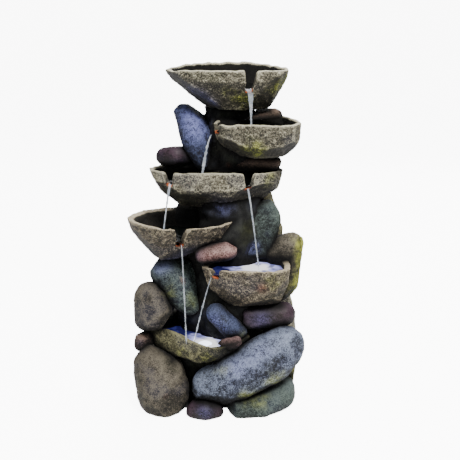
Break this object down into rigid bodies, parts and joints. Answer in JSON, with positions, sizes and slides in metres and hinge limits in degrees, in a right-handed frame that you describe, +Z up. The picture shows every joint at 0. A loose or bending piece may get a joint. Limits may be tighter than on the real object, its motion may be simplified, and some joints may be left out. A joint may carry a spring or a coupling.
{
  "type": "tabletop water fountain",
  "caption": "Tabletop water fountain of stacked cast-stone bowls and boulders round a hollow core, with a pump, riser tube, rear access cover and pool lights.",
  "frame": {"origin": "on the table, at the centre of the footprint's bounding box", "axes": "+Z up, -Y towards the viewer, out of the front, +X to the viewer's right"},
  "size_m": [0.2058, 0.1433, 0.396],
  "materials": {
    "cast_stone_grey": "cast resin, pecked stone grain, dark wash with dry-brushed edges",
    "cast_stone_warm": "cast resin, pecked stone grain with moss and ochre tints",
    "cast_stone_blue": "cast resin, slate-blue tint, pecked grain",
    "cast_stone_dark": "cast resin, dark wash",
    "cast_pebble_red": "cast resin, smooth river pebble, satin purple-brown",
    "cast_pebble_pink": "cast resin, smooth river pebble, satin dusty pink",
    "black_plastic": "moulded ABS, fine texture",
    "black_rubber": "matte rubber",
    "screw_steel": "plated steel",
    "ceramic_shaft": "polished ceramic",
    "rotor_magnet": "overmoulded magnet",
    "dial_orange": "moulded plastic",
    "clear_tube": "flexible clear tube",
    "light_lens": "lit lens"
  },
  "bodies": {
    "fountain": {"top_bowl": "cast_stone_grey", "upper_bowl": "cast_stone_warm", "middle_bowl": "cast_stone_warm", "left_bowl": "cast_stone_grey", "right_bowl": "cast_stone_warm", "basin": "cast_stone_warm", "boulder_left": "cast_stone_grey", "boulder_long": "cast_stone_grey", "boulder_low_right": "cast_stone_grey", "pebble_front": "cast_pebble_red", "boulder_side_right": "cast_stone_warm", "block_left": "cast_pebble_red", "pebble_basin": "cast_pebble_pink", "stone_diagonal": "cast_stone_blue", "slab_purple": "cast_pebble_red", "boulder_mid_left": "cast_stone_warm", "stone_blue": "cast_stone_blue", "slab_side_right": "cast_stone_warm", "stone_tall_right": "cast_stone_warm", "pebble_pink": "cast_pebble_pink", "slab_brown": "cast_pebble_red", "stone_dark_mid": "cast_stone_dark", "pebble_red": "cast_pebble_red", "stone_dark_ledge": "cast_stone_dark", "slab_upper_left": "cast_stone_blue", "stone_neck": "cast_stone_grey", "pebble_top_right": "cast_pebble_red", "back_slab_top": "cast_stone_grey", "back_slab_left": "cast_stone_grey", "back_slab_right": "cast_stone_warm", "back_boulder_left": "cast_stone_grey", "back_boulder_right": "cast_stone_grey", "back_sill": "cast_stone_grey", "core_column": "cast_stone_dark", "base_plate": "black_plastic", "foot_pads": "black_rubber", "reservoir_tub": "black_plastic", "power_jack": "black_plastic", "junction_block": "black_plastic", "pump_body": "black_plastic", "pump_seal": "black_rubber", "pump_shaft": "ceramic_shaft", "volute_cover": "black_plastic", "inlet_grille": "black_plastic", "pump_feet": "black_rubber", "pump_lead": "black_rubber", "riser_tube": "clear_tube", "top_nozzle": "black_plastic", "nozzle_nut": "black_plastic", "bowl_light": "black_plastic", "bowl_light_lens": "light_lens", "bowl_light_lead": "black_rubber", "basin_light": "black_plastic", "basin_light_lens": "light_lens", "basin_light_lead": "black_rubber"},
    "rotor": {"pump_rotor": "rotor_magnet"},
    "dial": {"flow_dial": "dial_orange"},
    "cover": {"rear_cover": "cast_stone_dark", "cover_screws": "screw_steel"}
  },
  "joints": [
    {"name": "rotor_spin", "type": "hinge", "parent": "fountain", "child": "rotor", "pos_m": [0.008, 0.024, 0.027], "axis": [1, 0, 0], "continuous": true},
    {"name": "dial_turn", "type": "hinge", "parent": "fountain", "child": "dial", "pos_m": [0.031, 0.024, 0.027], "axis": [1, 0, 0], "range_deg": [0, 45]},
    {"name": "cover_pull", "type": "slide", "parent": "fountain", "child": "cover", "axis": [0, 1, 0], "range_m": [0, 0.06]}
  ]
}
